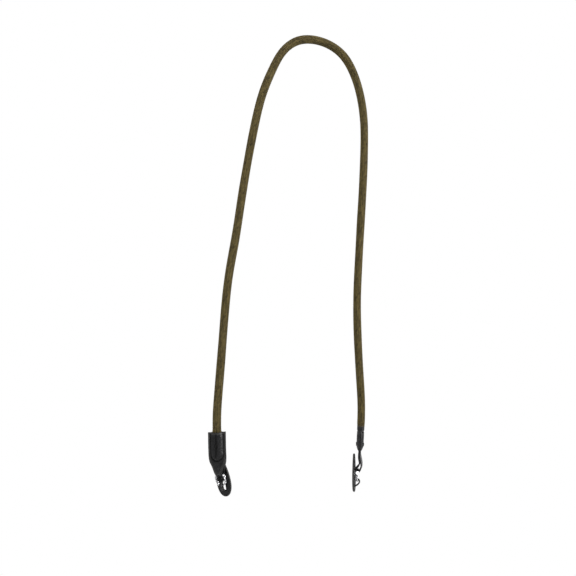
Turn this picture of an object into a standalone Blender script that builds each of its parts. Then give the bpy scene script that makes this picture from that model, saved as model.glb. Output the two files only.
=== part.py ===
"""Rope camera strap: a woven rope with a leather tab, a split ring and a leather protector at each end.

Metres, Z up. The strap hangs from the underside of its crown, which is the origin, close to the XZ plane.
Each end is built round the line on which the rope enters its tab.
"""

import math

import bmesh
import bpy
import numpy as np

MM = 0.001
GAP = 0.3 * MM  # left between pieces that touch on the real strap
UP = np.array([0.0, 0.0, 1.0])

# Rope: its centreline from the mouth of the left tab, over the crown, to the mouth of the right one
ROPE_DIAMETER = 8.0 * MM
ROPE_TUBE_SPACING = 2.0  # rope diameters from one point of the tube to the next
ROPE_TUBE_RESOLUTION = 3
ROPE_ROUTE = (
    (-0.1025, 0.0000, -0.3860),
    (-0.1024, 0.0005, -0.3720),
    (-0.1005, 0.0020, -0.3480),
    (-0.0971, 0.0035, -0.3120),
    (-0.0939, 0.0045, -0.2750),
    (-0.0893, 0.0050, -0.2350),
    (-0.0828, 0.0050, -0.1990),
    (-0.0769, 0.0045, -0.1610),
    (-0.0701, 0.0035, -0.1200),
    (-0.0635, 0.0020, -0.0850),
    (-0.0558, 0.0010, -0.0550),
    (-0.0460, 0.0005, -0.0310),
    (-0.0335, 0.0000, -0.0100),
    (-0.0185, 0.0000, 0.0010),
    (0.0000, 0.0000, 0.0040),
    (0.0160, 0.0000, 0.0010),
    (0.0300, 0.0000, -0.0070),
    (0.0410, 0.0000, -0.0215),
    (0.0493, -0.0005, -0.0435),
    (0.0540, -0.0010, -0.0720),
    (0.0540, -0.0020, -0.1020),
    (0.0519, -0.0030, -0.1420),
    (0.0490, -0.0040, -0.1800),
    (0.0465, -0.0040, -0.2210),
    (0.0450, -0.0035, -0.2620),
    (0.0463, -0.0025, -0.3000),
    (0.0493, -0.0015, -0.3420),
    (0.0514, -0.0005, -0.3740),
    (0.0508, 0.0000, -0.3983),
)

# Bound rope end: round where it shows, pressed flat inside the tab
BOUND_LENGTH = 26.5 * MM
BOUND_DIAMETER = 7.2 * MM
BOUND_SIDES = 16
BOUND_PRESSING = 5.0 * MM  # length in which it goes from round to flat
BOUND_PRESSED_AT = 1.0 * MM  # below the mouth, where it is flat
BOUND_PRESSING_ROWS = (1, 0.7, 0.4)  # sections of that length that show, as shares of it
BOUND_INSERTED_ROWS = (0.02, 0.12, 0.3, 0.5, 0.72, 0.86, 0.95, 1)  # shares of the length in the tab

# End tab: one strip of leather, folded round the ring, its two layers sewn together over the rope's end
LEATHER = 1.25 * MM
SKIVED_EDGE = 0.75 * MM  # leather thickness at the mouth
SKIVE_LENGTH = 5.0 * MM
TAB_WIDTH = 17.0 * MM
TAB_REACH = 39.0 * MM  # mouth to the middle of the ring's wire
TONGUE_WIDTH = 7.8 * MM  # where the strip goes round the ring
POCKET_WIDTH = 11.8 * MM
POCKET_DEPTH = 5.0 * MM  # inside, front to back
POCKET_MOUTH_DEPTH = 6.0 * MM
POCKET_ROUND = 8.0 * MM  # length of the pocket's rounded end
POCKET_SPARE = 1.0 * MM  # pocket past the rope's end
POCKET_POWERS = (2.6, 1.3)  # how full its section is, and how softly it rises at its edge
LOOP_START = 0.78  # share of the reach where the two layers start to part round the ring
LOOP_FOLLOWS = 0.8  # share of the ring's radius, out from its middle, in which the fold keeps to the wire
TWIST_START = 0.45  # share of the reach where the strip starts to turn towards the ring

# Split ring: two turns of round wire with a step between them
RING_OUTER = 13.6 * MM
RING_WIRE = 1.3 * MM
RING_TURN_GAP = 0.1 * MM
RING_WIRE_SIDES = 6
RING_SEGMENTS = 16  # in one turn
RING_STEP_HALF = math.radians(22)  # half the stretch in which the wire steps from turn to turn
RING_END_BACK = math.radians(25)  # how far the wire's ends stop from the middle of the step

# Protector: a leather oval behind the ring, whose bridge between two slits passes over the ring's wire
PROTECTOR_LENGTH = 39.0 * MM
PROTECTOR_WIDTH = 16.8 * MM
PROTECTOR_THICKNESS = 2.0 * MM
PROTECTOR_RAISE = 2.2 * MM  # its middle above the ring's
PROTECTOR_TAPER = 0.4  # how much narrower than an ellipse it is at its top, and wider at its foot
PROTECTOR_CORNERS = 32
PROTECTOR_TILT = math.radians(1)  # its top leans away from the tab
BRIDGE_WIDTH = 2.8 * MM
BRIDGE_LENGTH = 9.6 * MM
BRIDGE_DROP = 0.5 * MM  # its middle below that of the wire
BRIDGE_THICKNESS = 1.5 * MM
BRIDGE_ROOT = 1.0 * MM  # how far it goes into the leather past the slits' ends
BRIDGE_SPARE = 1.2 * MM  # room under it in front of the wire
BRIDGE_POWERS = (2.2, 1.5)  # how full its arch is, and how softly it leaves the leather
SLIT_WIDTH = 0.4 * MM
BRIDGE_ROWS = 12

# How each end hangs: yaws turn from the front, -Y, towards +X; the shift is from below the mouth to the loop
ENDS = {
    "left": {
        "at": 0,
        "bound_showing": 0.0,
        "tab_yaw": math.radians(-12),
        "ring_yaw": math.radians(-56),
        "ring_lean": math.radians(6),
        "loop_turn": math.radians(9),
        "protector_roll": math.radians(15),
        "shift": (2.1 * MM, 0.3 * MM),
        "bow": 0.0,
    },
    "right": {
        "at": -1,
        "bound_showing": 7.0 * MM,
        "tab_yaw": math.radians(62),
        "ring_yaw": math.radians(57),
        "ring_lean": math.radians(6),
        "loop_turn": math.radians(-9),
        "protector_roll": math.radians(-8),
        "shift": (-0.6 * MM, 0.4 * MM),
        "bow": 2.0 * MM,
    },
}

# Half width of the tab: share of its reach, and share of the way from the tongue's width to the full width
TAB_OUTLINE = (
    (0.00, 1.00),
    (0.52, 1.00),
    (0.70, 0.96),
    (0.78, 0.84),
    (0.88, 0.50),
    (0.95, 0.18),
    (1.00, 0.00),
)
TAB_ROWS = (0, 0.05, 0.12, 0.22, 0.34, 0.45, 0.53, 0.6, 0.66, 0.71, 0.76, 0.81, 0.86, 0.91, 0.955, 1)
TAB_COLUMNS = (0, 0.19, 0.37, 0.54, 0.7, 0.85, 1)
LOOP_ROWS = 8

RING_RADIUS = (RING_OUTER - RING_WIRE) / 2
RING_PITCH = RING_WIRE + RING_TURN_GAP
RING_HALF = (RING_PITCH + RING_WIRE) / 2  # half its thickness along its axis


def unit(vector):
    return vector / np.linalg.norm(vector)


def smooth_step(x):
    x = np.clip(x, 0, 1)
    return x * x * (3 - 2 * x)


def natural_spline(points, at):
    """The smooth curve through the points, at the given distances along their straight runs."""
    points = np.array(points)
    knots = np.concatenate([[0], np.cumsum(np.linalg.norm(np.diff(points, axis=0), axis=1))])
    h = np.diff(knots)
    count = len(knots)
    system = np.eye(count)
    right_side = np.zeros_like(points)
    slopes = np.diff(points, axis=0) / h[:, None]
    for i in range(1, count - 1):
        system[i, i - 1 : i + 2] = h[i - 1], 2 * (h[i - 1] + h[i]), h[i]
        right_side[i] = 6 * (slopes[i] - slopes[i - 1])
    bend = np.linalg.solve(system, right_side)
    distance = np.array(at) * knots[-1]
    i = np.clip(np.searchsorted(knots, distance) - 1, 0, count - 2)
    a, b, width = (knots[i + 1] - distance)[:, None], (distance - knots[i])[:, None], h[i][:, None]
    curve = (bend[i] * a**3 + bend[i + 1] * b**3) / (6 * width)
    curve += (points[i] / width - bend[i] * width / 6) * a
    return curve + (points[i + 1] / width - bend[i + 1] * width / 6) * b


def eased_table(rows, at):
    """A smooth curve through a table that never overshoots it."""
    x, y = np.array(rows).T
    slopes = np.diff(y) / np.diff(x)
    ends = slopes[:-1] * slopes[1:]
    inner = np.where(ends > 0, 2 * ends / np.where(ends > 0, slopes[:-1] + slopes[1:], 1), 0)
    m = np.concatenate([[slopes[0]], inner, [slopes[-1]]])
    i = np.clip(np.searchsorted(x, at) - 1, 0, len(x) - 2)
    h = x[i + 1] - x[i]
    t = (at - x[i]) / h
    value = (1 + 2 * t) * (1 - t) ** 2 * y[i] + t * (1 - t) ** 2 * h * m[i]
    return value + t * t * (3 - 2 * t) * y[i + 1] + t * t * (t - 1) * h * m[i + 1]


def rope_line():
    """The rope's centreline as closely spaced points, and the distance along it of each."""
    line = natural_spline(ROPE_ROUTE, np.linspace(0, 1, 3001))
    return line, np.concatenate([[0], np.cumsum(np.linalg.norm(np.diff(line, axis=0), axis=1))])


def front_direction(yaw):
    return np.array([math.sin(yaw), -math.cos(yaw), 0.0])


def end_frame(end):
    """Where one end's mouth, loop and ring are, and which way they face."""
    line, _ = rope_line()
    mouth, inside = (line[0], line[8]) if end["at"] == 0 else (line[-1], line[-9])
    down = unit(mouth - inside)
    facing = front_direction(end["ring_yaw"])
    lean = end["ring_lean"]
    axis = facing * math.cos(lean) - UP * math.sin(lean)
    ring_up = facing * math.sin(lean) + UP * math.cos(lean)
    side = np.cross(ring_up, axis)
    loop_up = ring_up * math.cos(end["loop_turn"]) - side * math.sin(end["loop_turn"])
    loop = mouth + down * TAB_REACH + np.array([*end["shift"], 0.0])
    return {
        "mouth": mouth,
        "down": down,
        "loop": loop,
        "loop_up": loop_up,
        "axis": axis,
        "ring_up": ring_up,
        "side": side,
        "ring": loop - loop_up * RING_RADIUS,
    }


def tab_frames(end, share):
    """The middle line of a tab at shares of its reach, with its direction, its width and its facing there."""
    frame = end_frame(end)
    start, finish = frame["mouth"], frame["loop"]
    t = np.clip(np.asarray(share, float), 0, 1)[:, None]
    leave, arrive = frame["down"] * TAB_REACH, -frame["loop_up"] * TAB_REACH
    centre = (1 + 2 * t) * (1 - t) ** 2 * start + t * (1 - t) ** 2 * leave
    centre = centre + t * t * (3 - 2 * t) * finish + t * t * (t - 1) * arrive
    centre = centre + frame["down"] * np.minimum(np.asarray(share, float), 0)[:, None] * TAB_REACH
    bowed = np.clip((t - TWIST_START) / (1 - TWIST_START), 0, 1)
    centre = centre + frame["axis"] * end["bow"] * np.sin(math.pi * bowed**2) ** 2
    along = 6 * t * (1 - t) * (finish - start) + (1 - t) * (1 - 3 * t) * leave + t * (3 * t - 2) * arrive
    along = along / np.linalg.norm(along, axis=1)[:, None]
    turned = smooth_step((t - TWIST_START) / (1 - TWIST_START))
    facing = (1 - turned) * front_direction(end["tab_yaw"]) + turned * frame["axis"]
    facing = facing - along * (facing * along).sum(axis=1)[:, None]
    facing = facing / np.linalg.norm(facing, axis=1)[:, None]
    return centre, along, np.cross(facing, along), facing


def pocket_bump(end, distance, across):
    """How far the leather is lifted off the middle by the rope's end, as a share of the pocket's height."""
    closed_at = BOUND_LENGTH - end["bound_showing"] + POCKET_SPARE
    past = np.clip((distance - closed_at + POCKET_ROUND) / POCKET_ROUND, 0, 1)
    out = np.clip(np.sqrt((2 * across / POCKET_WIDTH) ** 2 + past**2), 0, 1)
    fullness, softness = POCKET_POWERS
    return (1 - out**fullness) ** softness


def pocket_height(distance):
    mouth = 1 - smooth_step(distance / SKIVE_LENGTH)
    return (POCKET_DEPTH + (POCKET_MOUTH_DEPTH - POCKET_DEPTH) * mouth - GAP) / 2


def new_object(name, vertices, faces, material, smooth_angle=math.radians(50)):
    mesh = bpy.data.meshes.new(name)
    mesh.from_pydata([tuple(v) for v in vertices], [], faces)
    mesh.shade_smooth()
    mesh.set_sharp_from_angle(angle=smooth_angle)
    mesh.materials.append(material)
    made = bpy.data.objects.new(name, mesh)
    bpy.context.scene.collection.objects.link(made)
    return made


def loft(sections):
    """The closed skin through rings of points, capped at both ends."""
    count = len(sections[0])
    faces = [tuple(range(count))[::-1]]
    for row in range(len(sections) - 1):
        for k in range(count):
            a, b = row * count + k, row * count + (k + 1) % count
            faces.append((a, b, b + count, a + count))
    last = (len(sections) - 1) * count
    faces.append(tuple(range(last, last + count)))
    return np.concatenate(sections), faces


def build_rope(material):
    line, along = rope_line()
    start = ENDS["left"]["bound_showing"] + GAP
    finish = along[-1] - ENDS["right"]["bound_showing"] - GAP
    count = round((finish - start) / (ROPE_TUBE_SPACING * ROPE_DIAMETER)) + 1
    at = np.linspace(start, finish, count)
    curve = bpy.data.curves.new("rope", "CURVE")
    curve.dimensions = "3D"
    curve.bevel_depth = ROPE_DIAMETER / 2
    curve.bevel_resolution = ROPE_TUBE_RESOLUTION
    curve.use_fill_caps = True
    spline = curve.splines.new("POLY")
    spline.points.add(count - 1)
    for point, distance in zip(spline.points, at):
        point.co = [*(np.interp(distance, along, line[:, k]) for k in range(3)), 1]
    curve.materials.append(material)
    bpy.context.scene.collection.objects.link(bpy.data.objects.new("rope", curve))


def build_bound_end(name, end, material):
    """The bound end of the rope: round above the mouth, then the pocket's own section less a gap."""
    top, inserted = -end["bound_showing"], BOUND_LENGTH - end["bound_showing"]
    pressing = BOUND_PRESSED_AT - BOUND_PRESSING * np.array(BOUND_PRESSING_ROWS)
    below = inserted * np.array(BOUND_INSERTED_ROWS)
    distances = np.concatenate([[top], pressing[pressing > top], below])
    centre, _, width, facing = tab_frames(end, distances / TAB_REACH)
    turn = np.linspace(0, 2 * math.pi, BOUND_SIDES, endpoint=False)
    sections = []
    for row, distance in enumerate(distances):
        pressed = smooth_step((distance - BOUND_PRESSED_AT) / BOUND_PRESSING + 1)
        closing = max(0, (distance - inserted + POCKET_ROUND) / (POCKET_ROUND + POCKET_SPARE))
        half = (POCKET_WIDTH / 2 - 2 * GAP) * math.sqrt(1 - closing**2)
        across = half * np.cos(turn)
        lifted = (pocket_height(distance) - GAP) * pocket_bump(end, distance, across * (1 + 2 * GAP / half))
        flat = np.sign(np.sin(turn)) * np.maximum(lifted, GAP * np.abs(np.sin(turn)))
        radius = BOUND_DIAMETER / 2
        out = (1 - pressed) * radius * np.sin(turn) + pressed * flat
        across = (1 - pressed) * radius * np.cos(turn) + pressed * across
        sections.append(centre[row] + across[:, None] * width[row] + out[:, None] * facing[row])
    face_outwards(new_object(name, *loft(sections), material))


def build_end_tab(name, end, material):
    """One leather strip down the front, round the ring's wire and up the back, as a closed wall.

    The inner side is worked out first: across the width by columns, and along the strip by rows.
    The outer side is the inner one moved out by the leather's thickness along its own normals.
    """
    down_rows = np.array(TAB_ROWS)
    loop_angles = np.linspace(0, math.pi, LOOP_ROWS + 1)[1:-1]
    share = np.concatenate([down_rows, np.ones(len(loop_angles)), down_rows[::-1]])
    angle = np.concatenate([np.zeros(len(down_rows)), loop_angles, np.full(len(down_rows), math.pi)])
    columns = np.array([-c for c in TAB_COLUMNS[:0:-1]] + list(TAB_COLUMNS))
    centre, along, width, facing = tab_frames(end, share)

    widening = (TAB_WIDTH - TONGUE_WIDTH) / 2
    half_width = TONGUE_WIDTH / 2 + widening * eased_table(TAB_OUTLINE, share)
    across = half_width[:, None] * columns
    distance = (share * TAB_REACH)[:, None]
    opened = smooth_step((share - LOOP_START) / (1 - LOOP_START))[:, None]
    lift = GAP / 2 + pocket_height(distance) * pocket_bump(end, distance, across)
    lift = lift + (RING_HALF + GAP - GAP / 2) * opened
    wire_height = np.sqrt(RING_RADIUS**2 - np.minimum(np.abs(across), LOOP_FOLLOWS * RING_RADIUS) ** 2)
    wire_drop = (RING_RADIUS - wire_height) * opened
    under = (RING_WIRE / 2 + GAP) * RING_RADIUS / wire_height * np.sin(angle)[:, None]

    inner = centre[:, None] + across[..., None] * width[:, None]
    inner = inner + (lift * np.cos(angle)[:, None])[..., None] * facing[:, None]
    inner = inner + (wire_drop + under)[..., None] * along[:, None]
    normal = np.cross(np.gradient(inner, axis=0), np.gradient(inner, axis=1))
    normal = normal / np.linalg.norm(normal, axis=2)[..., None]
    if (normal[0, len(columns) // 2] * facing[0]).sum() < 0:
        normal = -normal
    skived = 1 - smooth_step(share * TAB_REACH / SKIVE_LENGTH)
    thickness = LEATHER + (SKIVED_EDGE - LEATHER) * skived
    outer = inner + normal * thickness[:, None, None]

    rows, count = inner.shape[:2]
    vertices = np.concatenate([outer.reshape(-1, 3), inner.reshape(-1, 3)])
    top, base = 0, rows * count
    faces = []
    for i in range(rows - 1):
        for j in range(count - 1):
            a = i * count + j
            faces.append((top + a, top + a + 1, top + a + count + 1, top + a + count))
            faces.append((base + a, base + a + count, base + a + count + 1, base + a + 1))
    for i in range(rows - 1):
        a, b = i * count, (i + 1) * count
        faces.append((top + a, top + b, base + b, base + a))
        a, b = a + count - 1, b + count - 1
        faces.append((top + b, top + a, base + a, base + b))
    for j in range(count - 1):
        a = j
        faces.append((top + a + 1, top + a, base + a, base + a + 1))
        a = (rows - 1) * count + j
        faces.append((top + a, top + a + 1, base + a + 1, base + a))
    face_outwards(new_object(name, vertices, faces, material))


def face_outwards(made):
    work = bmesh.new()
    work.from_mesh(made.data)
    bmesh.ops.recalc_face_normals(work, faces=work.faces)
    work.to_mesh(made.data)
    work.free()


def build_split_ring(name, end, material):
    """The wire goes nearly twice round, and steps from its back turn to its front one at the ring's side."""
    frame = end_frame(end)
    count = round(RING_SEGMENTS * (4 * math.pi - 2 * RING_END_BACK) / (2 * math.pi)) + 1
    turn = np.linspace(RING_END_BACK, 4 * math.pi - RING_END_BACK, count)
    stepped = smooth_step((turn - 2 * math.pi + RING_STEP_HALF) / (2 * RING_STEP_HALF))
    height = RING_PITCH * (stepped - 0.5)
    out = np.cos(turn)[:, None] * frame["side"] + np.sin(turn)[:, None] * frame["ring_up"]
    middle = frame["ring"] + out * RING_RADIUS + height[:, None] * frame["axis"]
    round_wire = np.linspace(0, 2 * math.pi, RING_WIRE_SIDES, endpoint=False) + math.pi / RING_WIRE_SIDES
    sections = []
    for row in range(count):
        spokes = np.cos(round_wire)[:, None] * out[row] + np.sin(round_wire)[:, None] * frame["axis"]
        sections.append(middle[row] + spokes * RING_WIRE / 2)
    face_outwards(new_object(name, *loft(sections), material))


def protector_frame(end):
    """The middle of the protector's front, its width, its length and its facing."""
    frame = end_frame(end)
    facing = front_direction(end["ring_yaw"])
    tilt = PROTECTOR_TILT
    axis = facing * math.cos(tilt) + UP * math.sin(tilt)
    rise = UP * math.cos(tilt) - facing * math.sin(tilt)
    side = np.cross(rise, axis)
    roll = end["protector_roll"]
    length_axis = rise * math.cos(roll) - side * math.sin(roll)
    width_axis = np.cross(length_axis, axis)
    lean = end["ring_lean"] + tilt
    behind = (RING_HALF + GAP) / math.cos(lean) + RING_OUTER / 2 * math.sin(lean)
    return frame["ring"] - axis * behind + length_axis * PROTECTOR_RAISE, width_axis, length_axis, axis


def build_protector(name, end, material):
    front, width_axis, length_axis, axis = protector_frame(end)
    lean = end["ring_lean"] + PROTECTOR_TILT

    def place(points):
        points = np.array(points)
        return front + points[:, :1] * width_axis + points[:, 1:2] * length_axis + points[:, 2:] * axis

    turn = np.linspace(0, 2 * math.pi, PROTECTOR_CORNERS, endpoint=False)
    across = PROTECTOR_WIDTH / 2 * np.cos(turn) * (1 - PROTECTOR_TAPER * np.sin(turn))
    along = PROTECTOR_LENGTH / 2 * np.sin(turn)
    plate = [np.stack([across, along, np.full_like(turn, z)], axis=1) for z in (-PROTECTOR_THICKNESS, 0)]
    made = new_object(name, *loft([place(section) for section in plate]), material)
    face_outwards(made)

    middle = -PROTECTOR_RAISE - RING_RADIUS * math.cos(lean) - BRIDGE_DROP
    half, window = BRIDGE_LENGTH / 2, BRIDGE_WIDTH / 2 + SLIT_WIDTH
    deep = 2 * PROTECTOR_THICKNESS
    square = np.array([(-1, -1), (1, -1), (1, 1), (-1, 1)])
    cut = []
    for z in (-deep, PROTECTOR_THICKNESS):
        cut.append(np.column_stack([square * [window, half] + [0, middle], np.full(4, z)]))
    cutter = new_object(name + "_window", *loft([place(section) for section in cut]), material)

    rise = 2 * RING_HALF + BRIDGE_SPARE + RING_WIRE * math.sin(lean)
    thickness = BRIDGE_THICKNESS
    foot = -(PROTECTOR_THICKNESS + thickness) / 2  # its underside where it joins the leather
    run = np.linspace(-1, 1, BRIDGE_ROWS + 1)
    fullness, softness = BRIDGE_POWERS
    under = foot + (rise + thickness) * (1 - np.abs(run) ** fullness) ** softness
    sections = []
    for share, low in zip(run, under):
        v = middle + share * (half + BRIDGE_ROOT)
        corners = [(-1, low), (1, low), (1, low + thickness), (-1, low + thickness)]
        sections.append(place([(side * BRIDGE_WIDTH / 2, v, z) for side, z in corners]))
    bridge = new_object(name + "_bridge", *loft(sections), material)
    for tool, operation in ((cutter, "DIFFERENCE"), (bridge, "UNION")):
        face_outwards(tool)
        tool.hide_render = True
        tool.display_type = "WIRE"
        modifier = made.modifiers.new(tool.name, "BOOLEAN")
        modifier.operation = operation
        modifier.object = tool


def new_material(name, colour, roughness, metallic=0.0):
    material = bpy.data.materials.new(name)
    material.use_nodes = True
    shader = material.node_tree.nodes["Principled BSDF"]
    shader.inputs["Base Color"].default_value = (*colour, 1)
    shader.inputs["Roughness"].default_value = roughness
    shader.inputs["Metallic"].default_value = metallic
    return material


def main():
    for existing in list(bpy.data.objects):
        bpy.data.objects.remove(existing)
    rope = new_material("olive_rope", (0.075, 0.06, 0.027), 0.85)
    binding = new_material("grey_binding", (0.12, 0.12, 0.12), 0.4)
    leather = new_material("black_leather", (0.022, 0.022, 0.024), 0.45)
    steel = new_material("bright_steel", (0.8, 0.8, 0.8), 0.15, 1.0)
    build_rope(rope)
    for side, end in ENDS.items():
        build_bound_end(f"rope_end_{side}", end, binding)
        build_end_tab(f"end_tab_{side}", end, leather)
        build_split_ring(f"split_ring_{side}", end, steel)
        build_protector(f"protector_{side}", end, leather)


main()
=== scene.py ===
from math import acos, atan2, cos, pi, radians, sin

import bmesh
import bpy
import numpy as np
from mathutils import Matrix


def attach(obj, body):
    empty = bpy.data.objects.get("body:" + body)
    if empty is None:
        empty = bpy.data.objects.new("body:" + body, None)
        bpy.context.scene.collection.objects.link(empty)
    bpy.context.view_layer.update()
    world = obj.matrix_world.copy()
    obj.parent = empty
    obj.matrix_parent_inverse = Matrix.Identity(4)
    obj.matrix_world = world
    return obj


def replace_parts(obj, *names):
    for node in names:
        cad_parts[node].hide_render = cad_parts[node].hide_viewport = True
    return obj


# Rope camera strap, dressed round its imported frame.
# Metres: X to the right, Y away from the viewer, Z up, and the origin under the rope's crown.

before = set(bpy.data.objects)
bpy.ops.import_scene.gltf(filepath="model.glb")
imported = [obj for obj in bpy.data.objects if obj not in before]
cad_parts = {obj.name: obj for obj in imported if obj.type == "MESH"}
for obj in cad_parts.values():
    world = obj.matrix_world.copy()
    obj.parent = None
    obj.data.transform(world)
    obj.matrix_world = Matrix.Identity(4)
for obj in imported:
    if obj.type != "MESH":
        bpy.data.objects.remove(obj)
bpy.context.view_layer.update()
mm = 0.001
gap = 0.3 * mm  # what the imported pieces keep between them
upward = np.array([0.0, 0.0, 1.0])
sharpFrom = radians(60)  # edges bent by more than this stay sharp
print("frame loaded")


# Numbers and curves

def unit(vectors):
    return vectors / np.linalg.norm(vectors, axis=-1, keepdims=True)


def dot(a, b):
    return (a * b).sum(axis=-1, keepdims=True)


def clamp(x):
    return np.clip(x, 0, 1)


def easeStep(x):
    x = clamp(x)
    return x * x * (3 - 2 * x)


def ridge(distance, width):
    # a bell: 1 at no distance, nearly 0 past twice the width
    return np.exp(-(distance / width) ** 2)


def wholeTurn(count):
    return np.linspace(0, 2 * pi, count, endpoint=False)


def smoothRoute(points, at):
    # natural cubic spline through the points, read at shares of their straight runs
    points = np.array(points, float)
    knots = np.concatenate([[0], np.cumsum(np.linalg.norm(np.diff(points, axis=0), axis=1))])
    h = np.diff(knots)
    slopes = np.diff(points, axis=0) / h[:, None]
    system = np.eye(len(knots))
    rightSide = np.zeros_like(points)
    for i in range(1, len(knots) - 1):
        system[i, i - 1 : i + 2] = h[i - 1], 2 * (h[i - 1] + h[i]), h[i]
        rightSide[i] = 6 * (slopes[i] - slopes[i - 1])
    bend = np.linalg.solve(system, rightSide)
    distance = np.asarray(at) * knots[-1]
    i = np.clip(np.searchsorted(knots, distance) - 1, 0, len(knots) - 2)
    a, b, width = (knots[i + 1] - distance)[:, None], (distance - knots[i])[:, None], h[i][:, None]
    curve = (bend[i] * a**3 + bend[i + 1] * b**3) / (6 * width)
    curve = curve + (points[i] / width - bend[i] * width / 6) * a
    return curve + (points[i + 1] / width - bend[i + 1] * width / 6) * b


def easedTable(rows, at):
    # a smooth curve through a table of two columns, which never overshoots it
    x, y = np.array(rows).T
    slopes = np.diff(y) / np.diff(x)
    both = slopes[:-1] * slopes[1:]
    inner = np.where(both > 0, 2 * both / np.where(both > 0, slopes[:-1] + slopes[1:], 1), 0)
    m = np.concatenate([[slopes[0]], inner, [slopes[-1]]])
    i = np.clip(np.searchsorted(x, at) - 1, 0, len(x) - 2)
    h = x[i + 1] - x[i]
    t = (at - x[i]) / h
    value = (1 + 2 * t) * (1 - t) ** 2 * y[i] + t * (1 - t) ** 2 * h * m[i]
    return value + t * t * (3 - 2 * t) * y[i + 1] + t * t * (t - 1) * h * m[i + 1]


# Meshes

def gridFaces(rows, columns, closed=False):
    # four corners for each cell of a grid of points: each row is a ring, and the rows can close too
    i, j = np.arange(rows - 1 + closed)[:, None], np.arange(columns)
    below, right = (i + 1) % rows, (j + 1) % columns
    corners = [i * columns + j, i * columns + right, below * columns + right, below * columns + j]
    return np.stack(corners, -1).reshape(-1, 4)


def addObject(name, data):
    made = bpy.data.objects.new(name, data)
    bpy.context.scene.collection.objects.link(made)
    return made


def makePiece(name, material, points, faces, uv=None, values=None):
    # faces: arrays of corners, each with its own number of corners; uv: one pair for each corner
    mesh = bpy.data.meshes.new(name)
    points = np.reshape(points, (-1, 3))
    sets = [np.reshape(some, (-1, np.shape(some)[-1])).tolist() for some in faces]
    mesh.from_pydata(points.tolist(), [], [face for some in sets for face in some])
    if uv is not None:
        mesh.uv_layers.new(name="UVMap").data.foreach_set("uv", np.asarray(uv, np.float32).ravel())
    for key, value in (values or {}).items():
        stored = mesh.attributes.new(key, "FLOAT", "POINT").data
        stored.foreach_set("value", np.asarray(value, np.float32).ravel())
    mesh.update(calc_edges=True)
    mesh.validate()
    work = bmesh.new()
    work.from_mesh(mesh)
    bmesh.ops.recalc_face_normals(work, faces=work.faces)
    work.to_mesh(mesh)
    work.free()
    mesh.shade_smooth()
    mesh.set_sharp_from_angle(angle=sharpFrom)
    mesh.materials.append(material)
    piece = addObject(name, mesh)
    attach(piece, "root")
    return piece


def tubePoints(path, first, second, radius, sides):
    # a round section carried along a path, on two axes
    turn = wholeTurn(sides)
    spokes = np.cos(turn)[:, None] * first[..., None, :] + np.sin(turn)[:, None] * second[..., None, :]
    return path[..., None, :] + spokes * np.asarray(radius)[..., None, None]


def endCaps(rows, columns):
    return [np.arange(columns)[None, ::-1], (rows - 1) * columns + np.arange(columns)[None]]


def tubeUv(v, columns):
    # round in u and along in v, for each corner of the sides, and of the two ends
    u = np.arange(columns) / columns
    uv = np.zeros((len(v) - 1, columns, 4, 2))
    uv[..., 0] = np.stack([u, u + 1 / columns, u + 1 / columns, u], -1)
    uv[..., 1] = np.stack([v[:-1], v[:-1], v[1:], v[1:]], -1)[:, None]
    capUv = [np.stack([u, np.full(columns, end)], -1) for end in (v[0], v[-1])]
    return uv.reshape(-1, 2), np.concatenate(capUv)


def tubesPiece(name, material, tubes, v=None, closed=False):
    # tubes with the same number of rings in one piece; v runs 0 to 1 where it isn't given
    count, rows, columns = tubes.shape[:3]
    quads = gridFaces(rows, columns, closed)
    first = np.arange(count)[:, None, None] * rows * columns
    faces = [quads + first]
    sideUv, capUv = tubeUv(np.linspace(0, 1, rows + closed) if v is None else v, columns)
    uv = [np.tile(sideUv, (count, 1))]
    if not closed:
        faces.append(np.concatenate(endCaps(rows, columns)) + first)
        uv.append(np.tile(capUv, (count, 1)))
    return makePiece(name, material, tubes, faces, np.concatenate(uv))


def foldOver(front, back, axis=0):
    # over the front and back behind it, without the two places that they share
    inside = np.arange(1, back.shape[axis] - 1)
    return np.concatenate([front, np.flip(back, axis).take(inside, axis)], axis)


# Shader parts

def newGroup(name, inputs, outputs):
    group = bpy.data.node_groups.new(name, "ShaderNodeTree")
    for inOut, sockets in (("INPUT", inputs), ("OUTPUT", outputs)):
        for label, kind in sockets.items():
            group.interface.new_socket(label, in_out=inOut, socket_type="NodeSocket" + kind)
    return group, group.nodes.new("NodeGroupInput").outputs, group.nodes.new("NodeGroupOutput").inputs


def addNode(tree, kind, settings=None, **inputs):
    made = tree.nodes.new("ShaderNode" + kind)
    for key, value in (settings or {}).items():
        setattr(made, key, value)
    for key, value in inputs.items():
        wire(tree, made.inputs[key], value)
    return made


def placed(tree, name, **inputs):
    return addNode(tree, "Group", {"node_tree": bpy.data.node_groups[name]}, **inputs).outputs


def wire(tree, socket, value):
    if isinstance(value, bpy.types.NodeSocket):
        tree.links.new(value, socket)
    else:
        socket.default_value = value


def wireAll(tree, made, values, places=range(5)):
    for place, value in zip(places, values):
        wire(tree, made.inputs[place], value)
    return made.outputs


def calc(tree, operation, *values, limited=False):
    made = addNode(tree, "Math", {"operation": operation, "use_clamp": limited})
    return wireAll(tree, made, values)[0]


def times(tree, a, b):
    return calc(tree, "MULTIPLY", a, b)


def blendColour(tree, factor, a, b, mode="MIX"):
    made = addNode(tree, "Mix", {"data_type": "RGBA", "blend_type": mode})
    return wireAll(tree, made, (factor, a, b), (0, 6, 7))[2]


def blendValue(tree, factor, a, b):
    made = addNode(tree, "Mix", {"data_type": "FLOAT"})
    return wireAll(tree, made, (factor, a, b), (0, 2, 3))[0]


def rescale(tree, value, lowIn, highIn, lowOut=0.0, highOut=1.0):
    made = addNode(tree, "MapRange", {"interpolation_type": "SMOOTHSTEP"})
    return wireAll(tree, made, (value, lowIn, highIn, lowOut, highOut))[0]


def noise(tree, vector, scale, detail=3.0):
    return addNode(tree, "TexNoise", Vector=vector, Scale=scale, Detail=detail).outputs[0]


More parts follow.
